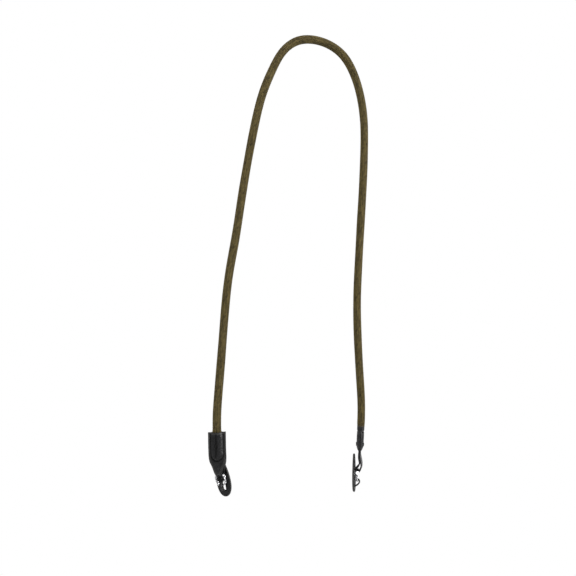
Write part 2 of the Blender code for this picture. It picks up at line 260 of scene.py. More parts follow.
def colour(*seen):
    # red, green and blue as they look on screen, turned linear
    shares = (c / 255 for c in seen)
    return (*(c / 12.92 if c <= 0.04045 else ((c + 0.055) / 1.055) ** 2.4 for c in shares), 1)


def newMaterial(name, surface, look, **plain):
    # the surface function makes the nodes, and returns what feeds which socket of the shader
    material = bpy.data.materials.new(name)
    material.use_nodes = True
    tree = material.node_tree
    shader = tree.nodes["Principled BSDF"]
    for key, value in {**plain, **surface(tree, look)}.items():
        wire(tree, shader.inputs[key.replace("_", " ")], value)
    return material


def bumped(tree, height, distance, strength, **under):
    inputs = {"Height": height, "Distance": distance, "Strength": strength, **under}
    return addNode(tree, "Bump", **inputs).outputs[0]


def objectSpace(tree):
    return addNode(tree, "TexCoord").outputs["Object"]


def pieceUv(tree):
    return addNode(tree, "UVMap", {"uv_map": "UVMap"}).outputs[0]


def pieceValue(tree, name):
    return addNode(tree, "Attribute", {"attribute_name": name}).outputs["Fac"]


# Braid: two families of strands wind opposite ways, each over two and under two of the other.
# a and b count the strands of each family round and along the rope. A strand's middle rises and
# dips as a sine of the other count, its section is a low arch, and the higher family shows.

braid = {
    "strands": 16,  # each way round
    "lay": 34 * mm,  # along the rope for one turn of a strand
    "rise": 0.5,  # how much of the relief is over and under
    "arch": 0.6,  # how much is each strand's own roundness
    "yarns": 3.0,  # side by side in a strand
    "slant": 0.35,  # of the yarns along a strand
    "tint": (1.37, 20.0, 50.0),  # step, start and family, for each strand's own tone
}


def braidHeight(u, v):
    a, b = (u + v) * braid["strands"], (u - v) * braid["strands"]
    arches = [braid["arch"] * (1 - 4 * (c - np.floor(c) - 0.5) ** 2) for c in (a, b)]
    first = braid["rise"] * np.sin(pi / 2 * (np.floor(a) + b)) + arches[0]
    second = -braid["rise"] * np.sin(pi / 2 * (a + np.floor(b))) + arches[1]
    return np.maximum(first, second)


def buildBraidGroup():
    # the same pattern as braidHeight, at each point of the surface
    outputs = {"Height": "Float", "Tone": "Float", "Yarn": "Float"}
    group, given, out = newGroup("braidPattern", {"UV": "Vector"}, outputs)
    around, along = addNode(group, "SeparateXYZ", Vector=given[0]).outputs[:2]
    a = times(group, calc(group, "ADD", around, along), braid["strands"])
    b = times(group, calc(group, "SUBTRACT", around, along), braid["strands"])
    step, start, family = braid["tint"]
    heights, tones, yarns = [], [], []
    for mine, other, sign in ((a, b, 1), (b, a, -1)):
        number = calc(group, "FLOOR", mine)
        across = calc(group, "SUBTRACT", calc(group, "SUBTRACT", mine, number), 0.5)
        swing = calc(group, "SINE", times(group, calc(group, "ADD", number, other), pi / 2))
        squared = times(group, across, across)
        arch = calc(group, "MULTIPLY_ADD", squared, -4 * braid["arch"], braid["arch"])
        heights.append(calc(group, "MULTIPLY_ADD", swing, sign * braid["rise"], arch))
        strand = calc(group, "FLOORED_MODULO", number, braid["strands"])
        seed = calc(group, "MULTIPLY_ADD", strand, step, start + family * sign)
        tones.append(addNode(group, "TexWhiteNoise", {"noise_dimensions": "1D"}, W=seed).outputs[0])
        slanted = times(group, other, braid["slant"])
        twist = calc(group, "MULTIPLY_ADD", across, braid["yarns"], slanted)
        yarns.append(calc(group, "COSINE", times(group, twist, 2 * pi)))
    top = calc(group, "GREATER_THAN", heights[0], heights[1])
    wire(group, out[0], calc(group, "MAXIMUM", heights[0], heights[1]))
    wire(group, out[1], blendValue(group, top, tones[1], tones[0]))
    wire(group, out[2], blendValue(group, top, yarns[1], yarns[0]))


def buildGrainGroup():
    # pebbled leather: shallow cells with creases between them, fine pores, and a slow tone
    inputs = {"Vector": "Vector", "Scale": "Float"}
    group, given, out = newGroup("leatherGrain", inputs, {"Height": "Float", "Tone": "Float"})
    sway = addNode(group, "TexNoise", Vector=given[0], Scale=times(group, given[1], 0.6)).outputs[1]
    bent = addNode(group, "VectorMath", {"operation": "MULTIPLY_ADD"})
    bent = wireAll(group, bent, (sway, (0.35 * mm,) * 3, given[0]))[0]
    edges = {"feature": "DISTANCE_TO_EDGE"}
    cells = addNode(group, "TexVoronoi", edges, Vector=bent, Scale=given[1])
    creases = rescale(group, cells.outputs["Distance"], 0.0, 0.35)
    pores = noise(group, given[0], times(group, given[1], 4.0), 2.0)
    wire(group, out[0], calc(group, "MULTIPLY_ADD", pores, 0.25, creases))
    wire(group, out[1], noise(group, given[0], times(group, given[1], 0.12), 4.0))


def buildTwistGroup():
    # plied thread: slanting lines round a tube, from its own UV
    group, given, out = newGroup("threadTwist", {"UV": "Vector", "Turns": "Float"}, {"Height": "Float"})
    around, along = addNode(group, "SeparateXYZ", Vector=given[0]).outputs[:2]
    lines = calc(group, "MULTIPLY_ADD", along, given[1], times(group, around, 2.0))
    wave = calc(group, "SINE", times(group, lines, pi))
    wire(group, out[0], calc(group, "ABSOLUTE", wave))


# Materials; tones are the two ends of an uneven colour

ropeLook = {
    "tones": (colour(78, 67, 34), colour(93, 81, 44)),
    "darkStrand": colour(60, 49, 23),
    "faded": colour(98, 86, 51),
    "streaks": (0.66, 1.14),  # the darkest and the palest, along the rope
}


def ropeSurface(tree, look):
    space, route = objectSpace(tree), pieceUv(tree)
    pattern = placed(tree, "braidPattern", UV=route)
    around, along = addNode(tree, "SeparateXYZ", Vector=route).outputs[:2]
    turn = times(tree, around, 2 * pi)
    cosine, sine = calc(tree, "COSINE", turn), calc(tree, "SINE", turn)
    tube = addNode(tree, "CombineXYZ", X=cosine, Y=sine, Z=times(tree, along, 1.1))
    plain = blendColour(tree, rescale(tree, pattern["Tone"], 0.1, 0.9), *look["tones"])
    dark = rescale(tree, pattern["Tone"], 0.0, 0.22, 1.0, 0.0)
    strands = blendColour(tree, dark, plain, look["darkStrand"])
    slow = rescale(tree, noise(tree, space, 70.0), 0.35, 0.65)
    faded = blendColour(tree, times(tree, slow, 0.35), strands, look["faded"])
    fluff = rescale(tree, noise(tree, space, 2600.0, 4.0), 0.3, 0.7, 0.78, 1.12)
    # painted shade: the base colour darkens where the braid lies low, between strands, and in the gaps
    # between yarns
    groove = rescale(tree, pattern["Height"], 0.25, 0.75, 0.42, 1.0)
    yarn = rescale(tree, pattern["Yarn"], -1.0, 0.2, 0.78, 1.0)
    streaks = rescale(tree, noise(tree, tube.outputs[0], 3.0, 2.0), 0.4, 0.58, *look["streaks"])
    shade = times(tree, times(tree, fluff, groove), times(tree, yarn, streaks))
    shaded = blendColour(tree, 1.0, faded, shade, "MULTIPLY")
    fine = bumped(tree, noise(tree, space, 3200.0), 0.12 * mm, 0.7)
    lines = bumped(tree, pattern["Yarn"], 0.04 * mm, 0.8, Normal=fine)
    return {"Base Color": shaded, "Normal": bumped(tree, pattern["Height"], 0.12 * mm, 0.8, Normal=lines)}


leatherLook = {
    # pit: painted shade in the grain's creases
    "pit": colour(18, 18, 19),
    # the pale tone of the band along the rim: painted highlight, with edge wear
    "highlightAndWear": colour(68, 67, 65),
    # crease: painted shade, the dark tone of the sewn groove, the valley and the pressed line
    "crease": colour(8, 8, 9),
    "tab": {
        "tones": (colour(26, 26, 27), colour(35, 35, 36)), "roughness": 0.3,
        "grainScale": 2200.0, "grainDepth": 0.025 * mm,
    },
    "protector": {
        "tones": (colour(22, 22, 23), colour(29, 29, 29)), "roughness": 0.38,
        "grainScale": 2000.0, "grainDepth": 0.03 * mm,
    },
}


def leatherSurface(tree, look):
    # black leather: the piece's values say where it is paler (rim: painted highlight, with edge wear),
    # darker (crease: painted shade in grooves) or smoother (polish)
    space = objectSpace(tree)
    grain = placed(tree, "leatherGrain", Vector=space, Scale=look["grainScale"])
    rim, crease, polish = (pieceValue(tree, value) for value in ("rim", "crease", "polish"))
    body = blendColour(tree, rescale(tree, grain["Tone"], 0.3, 0.7), *look["tones"])
    # painted shade: darker in the grain's creases
    pits = times(tree, rescale(tree, grain["Height"], 0.0, 0.7, 1.0, 0.0), 0.2)
    body = blendColour(tree, pits, body, leatherLook["pit"])
    # painted highlight, with edge wear: a mottled paler band along the rim
    rubbed = times(tree, rim, rescale(tree, noise(tree, space, 900.0), 0.35, 0.65, 0.4, 0.8))
    body = blendColour(tree, rubbed, body, leatherLook["highlightAndWear"])
    # painted shade: darker in the groove, the valley and the pressed line
    body = blendColour(tree, times(tree, crease, 0.9), body, leatherLook["crease"])
    smooth, rough = look["roughness"] - 0.06, look["roughness"] + 0.1
    uneven = rescale(tree, noise(tree, space, 420.0), 0.3, 0.7, smooth, rough)
    uneven = calc(tree, "MULTIPLY_ADD", polish, -0.06, uneven)
    uneven = calc(tree, "MULTIPLY_ADD", crease, 0.5, uneven, limited=True)
    swell = bumped(tree, noise(tree, space, 260.0, 2.0), 0.12 * mm, 0.5)
    swell = bumped(tree, grain["Height"], look["grainDepth"], 0.55, Normal=swell)
    return {"Base Color": body, "Roughness": uneven, "Normal": swell}


threadLook = {"tones": (colour(5, 5, 5), colour(17, 17, 16))}


def threadSurface(tree, look):
    twist = placed(tree, "threadTwist", UV=pieceUv(tree), Turns=5.0)["Height"]
    # painted shade: darker in the grooves between the plies
    shaded = blendColour(tree, rescale(tree, twist, 0.0, 0.8), *look["tones"])
    return {"Base Color": shaded, "Normal": bumped(tree, twist, 0.06 * mm, 0.8)}


sleeveLook = {"tones": (colour(30, 30, 29), colour(40, 39, 38)), "lip": colour(78, 69, 50)}


def sleeveSurface(tree, look):
    # satin grey: fine turns of cord under its skin, and the rope's tint at its lip
    uneven = rescale(tree, noise(tree, objectSpace(tree), 500.0), 0.3, 0.7)
    body = blendColour(tree, uneven, *look["tones"])
    body = blendColour(tree, times(tree, pieceValue(tree, "rim"), 0.7), body, look["lip"])
    turns = placed(tree, "threadTwist", UV=pieceUv(tree), Turns=1.0)["Height"]
    return {"Base Color": body, "Normal": bumped(tree, turns, 0.05 * mm, 0.5)}


steelLook = {"tones": (colour(232, 232, 234), colour(205, 205, 208))}


def steelSurface(tree, look):
    # polished wire: faint drawing lines and rubbed spots
    space = objectSpace(tree)
    haze = blendColour(tree, rescale(tree, noise(tree, space, 700.0), 0.4, 0.7), *look["tones"])
    rubbed = rescale(tree, noise(tree, space, 1500.0), 0.3, 0.75, 0.1, 0.24)
    lines = placed(tree, "threadTwist", UV=pieceUv(tree), Turns=0.0)["Height"]
    return {"Base Color": haze, "Roughness": rubbed, "Normal": bumped(tree, lines, 0.008 * mm, 0.4)}


buildBraidGroup()
buildGrainGroup()
buildTwistGroup()
materials = {
    "rope": newMaterial(
        "ropeOliveBraid", ropeSurface, ropeLook, Roughness=0.85, Specular_IOR_Level=0.25,
        Sheen_Weight=0.08, Sheen_Roughness=0.5, Sheen_Tint=colour(150, 135, 95),
    ),
    "thread": newMaterial("waxedThread", threadSurface, threadLook, Roughness=0.5, Specular_IOR_Level=0.15),
    "sleeve": newMaterial("greySleeve", sleeveSurface, sleeveLook, Roughness=0.42, Specular_IOR_Level=0.22),
    "steel": newMaterial("polishedSteel", steelSurface, steelLook, Metallic=1.0),
}
for leather in ("tab", "protector"):
    materials[leather] = newMaterial(
        leather + "Leather", leatherSurface, leatherLook[leather], Specular_IOR_Level=0.2,
    )
print("materials made")


# Camera at the photograph's angle, in a plain pale studio

studio = {
    "eye": (-0.2352, -0.5638, -0.2480),
    "turn": 20,  # degrees to the right of straight ahead
    "lens": 37.5,
    "floor": -0.62,
    "floorReach": 12,
    "aimedAt": (0, 0, -0.3),
    "lights": (  # name, place, width, height, power
        ("key", (0.8, -0.9, 1.0), 0.5, 0.5, 15),
        ("fill", (-1.2, -0.6, 0.8), 0.5, 0.5, 12),
        ("back", (0.2, 1.4, 0.5), 0.9, 0.9, 11),
        ("stripRight", (0.95, -0.9, -0.3), 0.28, 1.3, 18),
        ("stripLeft", (-1.3, 0.2, 0.3), 0.28, 1.3, 7),
    ),
    "sky": (0.08, 0.4),  # light from the horizon and overhead
    "floorGlow": 0.12,
}


def paperSurface(tree, glow):
    # plain white to the eye, and to everything else a grey that gives off a little light
    seen = addNode(tree, "LightPath").outputs["Is Camera Ray"]
    body = blendColour(tree, seen, (0.5, 0.5, 0.5, 1), (0, 0, 0, 1))
    return {"Base Color": body, "Emission Strength": blendValue(tree, seen, glow, 1.0)}


def buildStudio():
    eye = addObject("camera", bpy.data.cameras.new("camera"))
    eye.data.lens = studio["lens"]
    eye.data.sensor_width = 36
    eye.data.clip_start = 0.01
    eye.location = studio["eye"]
    eye.rotation_euler = (radians(90), 0, -radians(studio["turn"]))
    bpy.context.scene.camera = eye

    for name, place, width, height, power in studio["lights"]:
        lamp = addObject(name, bpy.data.lights.new(name, "AREA"))
        lamp.data.shape = "RECTANGLE"
        lamp.data.size = width
        lamp.data.size_y = height
        lamp.data.energy = power
        lamp.location = place
        lamp.visible_camera = False
        aim = np.array(studio["aimedAt"]) - np.array(place)
        tilt = acos(-aim[2] / np.linalg.norm(aim))
        lamp.rotation_euler = (tilt, 0, atan2(aim[1], aim[0]) - pi / 2)

    reach = studio["floorReach"]
    mesh = bpy.data.meshes.new("floor")
    corners = [(-reach, -reach), (reach, -reach), (reach, reach), (-reach, reach)]
    mesh.from_pydata([(x, y, studio["floor"]) for x, y in corners], [], [(0, 1, 2, 3)])
    plain = {"Roughness": 0.8, "Emission_Color": (1, 1, 1, 1), "Specular_IOR_Level": 0}
    mesh.materials.append(newMaterial("paleFloor", paperSurface, studio["floorGlow"], **plain))
    floor = addObject("floor", mesh)

    # walls: white to the eye too, with a soft light that is strongest overhead
    world = bpy.data.worlds.new("paleStudio")
    world.use_nodes = True
    tree = world.node_tree
    sphere = addNode(tree, "TexCoord").outputs["Generated"]
    height = addNode(tree, "SeparateXYZ", Vector=sphere).outputs[2]
    glow = rescale(tree, height, 0.0, 0.9, *studio["sky"])
    seen = addNode(tree, "LightPath").outputs["Is Camera Ray"]
    wire(tree, tree.nodes["Background"].inputs["Strength"], blendValue(tree, seen, glow, 1.0))
    tree.nodes["Background"].inputs["Color"].default_value = (1, 1, 1, 1)
    bpy.context.scene.world = world
    bpy.context.scene.view_settings.view_transform = "Standard"


buildStudio()
print("camera and studio set")


# Rope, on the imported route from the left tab's mouth to the right one's

rope = {
    "route": [
        (-0.1025, 0, -0.386), (-0.1024, 0.0005, -0.372), (-0.1005, 0.002, -0.348),
        (-0.0971, 0.0035, -0.312), (-0.0939, 0.0045, -0.275), (-0.0893, 0.005, -0.235),
        (-0.0828, 0.005, -0.199), (-0.0769, 0.0045, -0.161), (-0.0701, 0.0035, -0.12),
        (-0.0635, 0.002, -0.085), (-0.0558, 0.001, -0.055), (-0.046, 0.0005, -0.031),
        (-0.0335, 0, -0.01), (-0.0185, 0, 0.001), (0, 0, 0.004),
        (0.016, 0, 0.001), (0.03, 0, -0.007), (0.041, 0, -0.0215),
        (0.0493, -0.0005, -0.0435), (0.054, -0.001, -0.072), (0.054, -0.002, -0.102),
        (0.0519, -0.003, -0.142), (0.049, -0.004, -0.18), (0.0465, -0.004, -0.221),
        (0.045, -0.0035, -0.262), (0.0463, -0.0025, -0.3), (0.0493, -0.0015, -0.342),
        (0.0514, -0.0005, -0.374), (0.0508, 0, -0.3983),
    ],
    "diameter": 8 * mm,
    "proud": 0.04 * mm,  # added, so that the braid is 8 mm thick on average
    "relief": 0.24 * mm,
    "reliefMiddle": 0.75,  # braid height that lies on the plain radius
    "swells": ((0.05 * mm, 23 * mm, 0), (0.04 * mm, 9.1 * mm, 1)),  # height, length and shift
    "around": 64,
    "spacing": 0.57 * mm,
    "tucked": 2.5 * mm,  # goes on into the left pocket
    "underSleeve": 0.6 * mm,  # goes on into the right collar
    "narrows": (0.4 * mm, 2.2 * mm),  # how much towards the collar, and over what length
    "squeeze": 0.66,  # how flat it is inside the pocket
    "spread": 0.9,  # widening there, as a share of what would keep its section
    "easing": 7 * mm,  # stretch in which it goes flat
}

# Ends, each at two points of the line that give its place and direction. Yaws turn from -Y towards +X,
# and the shift is from below the mouth to the tab's loop.
ends = {
    "left": {
        "at": (0, 8), "collar": 0.0, "tabYaw": -12, "ringYaw": -56, "ringLean": 6, "loopTurn": 9,
        "protectorRoll": 15, "shift": (2.1 * mm, 0.3 * mm), "bow": 0.0,
    },
    "right": {
        "at": (-1, -9), "collar": 7 * mm, "tabYaw": 62, "ringYaw": 57, "ringLean": 6, "loopTurn": -9,
        "protectorRoll": -8, "shift": (-0.6 * mm, 0.4 * mm), "bow": 2.0 * mm,
    },
}

ropeLine = smoothRoute(rope["route"], np.linspace(0, 1, 3001))
ropeRun = np.concatenate([[0], np.cumsum(np.linalg.norm(np.diff(ropeLine, axis=0), axis=1))])


def facingOf(yaw):
    return np.array([sin(radians(yaw)), -cos(radians(yaw)), 0.0])


def ropeAt(distance):
    # places on the line, which runs straight on past its ends
    place = np.stack([np.interp(distance, ropeRun, ropeLine[:, k]) for k in range(3)], axis=-1)
    first, last = (unit(ropeLine[a] - ropeLine[b]) for a, b in (end["at"] for end in ends.values()))
    place = place + np.maximum(-distance, 0)[:, None] * first
    return place + np.maximum(distance - ropeRun[-1], 0)[:, None] * last


def buildRope():
    # the braid's relief on a round section, which goes oval towards the left mouth
    shown = ropeRun[-1] - ends["right"]["collar"]
    start, finish = -rope["tucked"], shown + rope["underSleeve"]
    distance = np.linspace(start, finish, round((finish - start) / rope["spacing"]))
    line = ropeAt(distance)
    along = unit(np.gradient(line, axis=0))
    away = np.array([0, 1.0, 0])
    side = unit(away - dot(along, away) * along)
    out = np.cross(along, side)
    u = np.arange(rope["around"]) / rope["around"]
    v = distance / braid["lay"]
    relief = rope["relief"] * (braidHeight(u[None], v[:, None]) - rope["reliefMiddle"])
    swell = sum(height * np.sin(distance / length + shift) for height, length, shift in rope["swells"])
    radius = rope["diameter"] / 2 + rope["proud"] + swell[:, None] + relief
    inward, stretch = rope["narrows"]
    radius = radius - easeStep((distance - finish + stretch) / stretch)[:, None] * inward
    turn = 2 * pi * u
    spokes = np.cos(turn)[:, None] * side[:, None] + np.sin(turn)[:, None] * out[:, None]
    offset = spokes * radius[..., None]
    facing = facingOf(ends["left"]["tabYaw"])
    across = unit(np.cross(facing, along[0]))
    flat = easeStep((rope["easing"] - rope["tucked"] - distance) / rope["easing"])[:, None, None]
    offset = offset + flat * (rope["squeeze"] - 1) * dot(offset, facing) * facing
    offset = offset + flat * (rope["spread"] / rope["squeeze"] ** 0.5 - 1) * dot(offset, across) * across
    points = line[:, None] + offset
    piece = tubesPiece("braidedRope", materials["rope"], points[None], v)
    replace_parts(piece, "rope")


buildRope()
print("rope braided")


# End tabs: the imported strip, with rounded edges, a sewn groove round the rope's end and a valley

tab = {
    "leather": 1.25 * mm,
    "skived": 0.75 * mm,
    "skiveLength": 5 * mm,
    "between": 0.12 * mm,  # the two layers' gap
    "width": 17 * mm,
    "reach": 39 * mm,
    "tongue": 7.8 * mm,
    "pocketWidth": 11.8 * mm,
    "pocketDepth": 5 * mm,
    "mouthDepth": 6 * mm,
    "pocketRound": 8 * mm,
    "pocketSpare": 1 * mm,
    "bumpPowers": (2.6, 1.3),  # how full the lift over the pocket is, and how softly it starts
    "boundLength": 26.5 * mm,
    "loopStart": 0.78,  # of the reach, where the layers start to part
    "loopFollows": 0.8,  # of the ring's radius, within which the fold keeps to the wire
    "twistStart": 0.45,
    "outline": (
        (0.00, 1.00), (0.52, 1.00), (0.70, 0.96), (0.78, 0.84), (0.88, 0.50), (0.95, 0.18), (1.00, 0.00),
    ),
    "grooveAt": 1.03,  # in pocket half widths
    "grooveWidth": 0.8 * mm,
    "grooveDepth": 0.45 * mm,
    "grooveWidens": 0.4,  # round the pocket's end
    "valleyAt": -1.2 * mm,  # a little to one side of the middle
    "valleyWidth": 0.95 * mm,
    "valleyDepth": 0.55 * mm,
    "sinking": 3 * mm,  # stretch below the mouth in which groove and valley set in
    "valleyFades": (2 * mm, 4 * mm),  # how far above the pocket's end, and over what length
    "highlightBandAt": 1.2 * mm,  # paler band beside the dyed edge: painted highlight, with edge wear
    "highlightBandWidth": 0.8 * mm,
    "edgeRound": 0.45,  # of the thickness
    "wave": (0.05 * mm, 1.9 * mm, 4.1 * mm, 3.3 * mm),  # height, and lengths across, aslant and along
    "mouthRows": (0.003, 0.007, 0.011),  # extra ones where the edge is rounded
    "rows": 150,
    "loopRows": 22,
    "columns": 61,
}

ring = {
    "outer": 13.6 * mm,
    "wire": 1.3 * mm,
    "turnGap": 0.1 * mm,
    "stepHalf": radians(22),
    "endBack": radians(25),
    "endShare": 0.82,  # of the wire's radius, at its filed ends
    "segments": 96,
    "sides": 18,
}
ringRadius = (ring["outer"] - ring["wire"]) / 2
ringPitch = ring["wire"] + ring["turnGap"]
ringHalf = (ringPitch + ring["wire"]) / 2


def endPlaces(end):
    # where one end's mouth, loop and ring are, and which way they face
    mouth, inside = (ropeLine[k] for k in end["at"])
    down = unit(mouth - inside)
    facing = facingOf(end["ringYaw"])
    lean, turn = radians(end["ringLean"]), radians(end["loopTurn"])
    axis = facing * cos(lean) - upward * sin(lean)
    ringUp = facing * sin(lean) + upward * cos(lean)
    side = np.cross(ringUp, axis)
    loopUp = ringUp * cos(turn) - side * sin(turn)
    loop = mouth + down * tab["reach"] + np.array([*end["shift"], 0.0])
    return {
        "mouth": mouth, "down": down, "loop": loop, "loopUp": loopUp, "axis": axis,
        "ringUp": ringUp, "side": side, "ring": loop - loopUp * ringRadius,
    }


def tabLine(end, share):
    # the strip's middle line, direction, width and facing, at shares of its reach
    place = endPlaces(end)
    t = clamp(share)[..., None]
    leave, arrive = place["down"] * tab["reach"], -place["loopUp"] * tab["reach"]
    centre = (1 + 2 * t) * (1 - t) ** 2 * place["mouth"] + t * (1 - t) ** 2 * leave
    centre = centre + t * t * (3 - 2 * t) * place["loop"] + t * t * (t - 1) * arrive
    centre = centre + place["down"] * np.minimum(share, 0)[..., None] * tab["reach"]
    below = clamp((t - tab["twistStart"]) / (1 - tab["twistStart"]))
    centre = centre + place["axis"] * end["bow"] * np.sin(pi * below**2) ** 2
    along = 6 * t * (1 - t) * (place["loop"] - place["mouth"])
    along = unit(along + (1 - t) * (1 - 3 * t) * leave + t * (3 * t - 2) * arrive)
    turned = easeStep(below)
    facing = (1 - turned) * facingOf(end["tabYaw"]) + turned * place["axis"]
    facing = unit(facing - along * dot(facing, along))
    return centre, along, np.cross(facing, along), facing


def pocketEnd(end):
    return tab["boundLength"] - end["collar"] + tab["pocketSpare"]


def pocketOut(end, distance, across):
    # 0 in the pocket's middle, 1 on its outline, more outside it
    past = np.maximum((distance - pocketEnd(end) + tab["pocketRound"]) / tab["pocketRound"], 0)
    return np.sqrt((2 * across / tab["pocketWidth"]) ** 2 + past**2)


def sunkAt(end, distance, across):
    # the sewn groove round the pocket, wider round its end, and the valley down its middle
    fromGroove = (pocketOut(end, distance, across) - tab["grooveAt"]) * tab["pocketWidth"] / 2
    rounding = easeStep((distance - pocketEnd(end) + tab["pocketRound"]) / tab["pocketRound"])
    wide = tab["grooveWidth"] * (1 + tab["grooveWidens"] * rounding)
    groove = tab["grooveDepth"] * ridge(fromGroove, wide)
    above, stretch = tab["valleyFades"]
    fading = easeStep((pocketEnd(end) - above - distance) / stretch)
    valley = tab["valleyDepth"] * ridge(across - tab["valleyAt"], tab["valleyWidth"]) * fading
    return easeStep(distance / tab["sinking"]) * np.maximum(groove, valley)


def pocketHeight(distance):
    mouth = 1 - easeStep(distance / tab["skiveLength"])
    return (tab["pocketDepth"] + (tab["mouthDepth"] - tab["pocketDepth"]) * mouth - gap) / 2


def pocketBump(out):
    # lift over the pocket, from 1 in its middle to 0 on its outline
    full, soft = tab["bumpPowers"]
    return (1 - clamp(out) ** full) ** soft


def halfWidthAt(share):
    return tab["tongue"] / 2 + (tab["width"] - tab["tongue"]) / 2 * easedTable(tab["outline"], share)


def travelOf(travel):
    # travel runs 0 to 1 down the front, 1 to 2 round the wire and 2 to 3 up the back
    share = np.where(travel < 1, travel, np.where(travel > 2, 3 - travel, 1.0))
    return share, clamp(travel - 1) * pi


def tabInner(end, travel, across):
    share, angle = travelOf(travel)
    centre, along, width, facing = tabLine(end, share)
    distance = share * tab["reach"]
    opened = easeStep((share - tab["loopStart"]) / (1 - tab["loopStart"]))
    bump = pocketBump(pocketOut(end, distance, across))
    lift = tab["between"] / 2 + (pocketHeight(distance) + gap / 2 - tab["between"] / 2) * bump
    lift = lift + (ringHalf + gap - tab["between"] / 2) * opened
    wireHeight = np.sqrt(ringRadius**2 - np.minimum(np.abs(across), tab["loopFollows"] * ringRadius) ** 2)
    drop = (ringRadius - wireHeight) * opened
    drop = drop + (ring["wire"] / 2 + gap) * ringRadius / wireHeight * np.sin(angle)
    place = centre + across[..., None] * width + (lift * np.cos(angle))[..., None] * facing
    return place + drop[..., None] * along


def tabWall(end, travel, across):
    # inner and outer surface, which meet round every edge, and the outward normal
    step, slip = 2e-3, 0.1 * mm
    place = tabInner(end, travel, across)
    before, after = np.clip(travel - step, 0, 3), np.clip(travel + step, 0, 3)
    ahead = tabInner(end, after, across) - tabInner(end, before, across)
    aside = tabInner(end, travel, across + slip) - tabInner(end, travel, across - slip)
    normal = unit(np.cross(ahead, aside))
    share, angle = travelOf(travel)
    _, along, _, facing = tabLine(end, share)
    facing = facing * np.cos(angle)[..., None] + along * np.sin(angle)[..., None]
    normal = normal * np.sign(dot(normal, facing))
    distance = share * tab["reach"]
    skive = 1 - easeStep(distance / tab["skiveLength"])
    thick = tab["leather"] + (tab["skived"] - tab["leather"]) * skive
    rimDistance = np.minimum(halfWidthAt(share) - np.abs(across), distance)
    rounded = np.sqrt(1 - clamp(1 - rimDistance / (tab["edgeRound"] * thick)) ** 2)
    sunk = sunkAt(end, distance, across)
    height, sideways, aslant, lengthways = tab["wave"]
    wavy = height * np.sin(across / sideways + distance / aslant) * np.sin(distance / lengthways)
    outer = place + normal * ((thick * (1 + rounded) / 2) - (sunk - wavy) * rounded)[..., None]
    inner = place + normal * (thick * (1 - rounded) / 2)[..., None]
    return inner, outer, normal, rimDistance, sunk


def tabSurface(end, back, distance, across):
    travel = distance / tab["reach"]
    travel = 3 - travel if back else travel
    return tabWall(end, travel, across)[1:3]


def buildTab(name, end):
    front = np.unique(np.concatenate([tab["mouthRows"], np.linspace(0, 1, tab["rows"])]))
    loop = np.linspace(1, 2, tab["loopRows"] + 2)[1:-1]
    travel = np.concatenate([front, loop, 3 - front[::-1]])
    c = np.sin(pi / 2 * np.linspace(-1, 1, tab["columns"]))
    c = 0.5 * c + 0.5 * np.linspace(-1, 1, tab["columns"])
    share = travelOf(travel)[0]
    across = halfWidthAt(share)[:, None] * c
    grid = np.broadcast_to(travel[:, None], across.shape)
    inner, outer, _, rimDistance, sunk = tabWall(end, grid, across)
    points = foldOver(outer, inner, 1)
    rows, columns = points.shape[:2]
    # both ends are closed from outer to inner points, with a triangle at each side
    k = np.arange(len(c))
    over = -k % columns
    strip = np.stack([k[:-1], k[1:], over[1:], over[:-1]], -1)[1:-1]
    sides = np.array([[0, 1, over[1]], [k[-2], k[-1], over[-2]]])
    last = (rows - 1) * columns
    faces = [gridFaces(rows, columns), strip, strip + last, sides, sides + last]
    # rim: where the painted highlight and edge wear band lies
    rim = ridge(rimDistance - tab["highlightBandAt"], tab["highlightBandWidth"])
    # the crease value places painted shade in the groove and valley
    crease = clamp(sunk / tab["grooveDepth"])
    polish = 1 - clamp(pocketOut(end, share[:, None] * tab["reach"], across)) ** 4
    none = np.zeros_like(rim)
    both = {"rim": (rim, rim), "crease": (crease, none), "polish": (polish, none)}
    values = {key: foldOver(*value, 1) for key, value in both.items()}
    return makePiece(name, materials["tab"], points, faces, values=values)


# Thread: short arched stitches that dive into the leather at both ends

stitch = {
    "pitch": 2.4 * mm,
    "length": 1.85 * mm,
    "radius": 0.27 * mm,
    "lift": 0.14 * mm,
    "dive": 0.12 * mm,  # of both ends into the leather
    "endShare": 0.25,  # of the radius, at both ends
    "seamFrom": 2.2 * mm,  # below the mouth
    "middleFrom": 2.6 * mm,
    "middleStops": 4.5 * mm,  # above the pocket's end
    "rings": 9,
    "sides": 8,
}


def stitchPoints(starts, finishes, normals):
    t = np.linspace(0, 1, stitch["rings"])
    arch = np.sin(pi * t) ** 0.6
    line = starts[:, None] * (1 - t)[:, None] + finishes[:, None] * t[:, None]
    line = line + normals[:, None] * (stitch["lift"] * arch - stitch["dive"])[:, None]
    side = np.cross(unit(finishes - starts), normals)
    full = clamp(4 * t * (1 - t) * 1.6) ** 0.5
    radius = stitch["radius"] * (stitch["endShare"] + (1 - stitch["endShare"]) * full)
    return tubePoints(line, normals[:, None], side[:, None], radius, stitch["sides"])


def seamPath(end, samples=400):
    # down one side of the pocket, round its end and up the other
    straight = pocketEnd(end) - tab["pocketRound"]
    half = tab["pocketWidth"] / 2 * tab["grooveAt"]
    turn = np.linspace(0, pi, samples)
    down = np.linspace(stitch["seamFrom"], straight, samples)[:-1]
    rounded = straight + tab["pocketRound"] * tab["grooveAt"] * np.sin(turn)
    distance = np.concatenate([down, rounded, down[::-1]])
    across = np.concatenate([np.full(len(down), -half), -half * np.cos(turn), np.full(len(down), half)])
    return distance, across


def alongPath(distance, across, pitch, length):
    # both ends of each stitch, at an even pitch along a path on the leather
    run = np.concatenate([[0], np.cumsum(np.hypot(np.diff(distance), np.diff(across)))])
    count = int((run[-1] - length) / pitch)
    starts = (run[-1] - count * pitch - length) / 2 + pitch * np.arange(count + 1)
    return [(np.interp(s, run, distance), np.interp(s, run, across)) for s in (starts, starts + length)]


